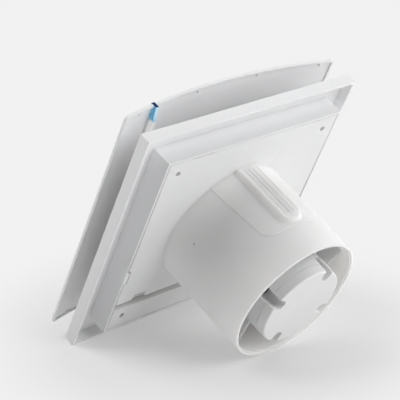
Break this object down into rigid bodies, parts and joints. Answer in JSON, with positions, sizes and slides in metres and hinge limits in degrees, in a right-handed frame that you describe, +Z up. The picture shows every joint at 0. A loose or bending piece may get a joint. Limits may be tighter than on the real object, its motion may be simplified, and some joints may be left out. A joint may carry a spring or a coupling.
{
  "type": "bathroom extractor fan",
  "caption": "Square extractor fan with a curved front panel standing off a frame, and a round duct spigot behind that holds the impeller, guide vanes and motor.",
  "frame": {"origin": "on the fan axis, in the plane of the rear plate that rests on the wall", "axes": "+Y along the fan axis into the duct, -Y to the room and the front panel, +Z up, +X to the right seen from the room"},
  "size_m": [0.18, 0.1228, 0.18],
  "materials": {
    "panel_white": "satin moulded",
    "frame_white": "satin moulded",
    "housing_white": "fine matt moulded",
    "cap_white": "satin moulded",
    "impeller_white": "satin moulded",
    "flap_white": "satin moulded",
    "terminal_white": "satin moulded",
    "grommet_grey": "soft matt",
    "rubber": "soft matt",
    "cable_black": "satin sheath",
    "blue_clear": "clear acrylic",
    "lamp_blue": "clear epoxy",
    "zinc_steel": "zinc plated",
    "bearing_steel": "ground and polished",
    "stator_steel": "laminated edges",
    "aluminium": "cast",
    "copper": "enamelled copper wire",
    "board_green": "solder mask",
    "capacitor_amber": "moulded box"
  },
  "bodies": {
    "housing": {"duct_housing": "housing_white", "motor_cap": "cap_white", "motor_screws": "zinc_steel", "motor_mounts": "rubber", "front_bracket": "zinc_steel", "stator_core": "stator_steel", "stator_coils": "copper", "rear_bracket": "zinc_steel", "bracket_screws": "zinc_steel", "front_bearing": "bearing_steel", "rear_bearing": "bearing_steel", "motor_cable": "cable_black", "shutter_frame": "housing_white", "shutter_pin": "bearing_steel", "control_board": "board_green", "capacitor": "capacitor_amber", "terminal_block": "terminal_white", "terminal_screws": "zinc_steel", "terminal_cover": "housing_white", "cover_screw": "zinc_steel", "lamp_board": "board_green", "pilot_lamp": "lamp_blue", "cable_grommet": "grommet_grey"},
    "rotor": {"impeller": "impeller_white", "impeller_clip": "zinc_steel", "motor_shaft": "bearing_steel", "rotor_core": "stator_steel", "rotor_rings": "aluminium"},
    "left_shutter": {"left_flap": "flap_white", "left_flap_spring": "bearing_steel"},
    "right_shutter": {"right_flap": "flap_white", "right_flap_spring": "bearing_steel"},
    "cover": {"front_frame": "frame_white"},
    "panel": {"front_panel": "panel_white", "light_guide": "blue_clear"}
  },
  "joints": [
    {"name": "rotor_spin", "type": "hinge", "parent": "housing", "child": "rotor", "pos_m": [0, 0.06, 0], "axis": [0, 1, 0], "continuous": true},
    {"name": "left_flap_swing", "type": "hinge", "parent": "housing", "child": "left_shutter", "pos_m": [0, -0.013, 0], "axis": [0, 0, -1], "range_deg": [0, 65]},
    {"name": "right_flap_swing", "type": "hinge", "parent": "housing", "child": "right_shutter", "pos_m": [0, -0.013, 0], "axis": [0, 0, 1], "range_deg": [0, 65]},
    {"name": "cover_pull", "type": "slide", "parent": "housing", "child": "cover", "axis": [0, -1, 0], "range_m": [0, 0.06]},
    {"name": "panel_pull", "type": "slide", "parent": "cover", "child": "panel", "axis": [0, -1, 0], "range_m": [0, 0.04]}
  ],
  "couplings": [
    {"joint": "right_flap_swing", "follows": "left_flap_swing", "ratio": 1}
  ]
}
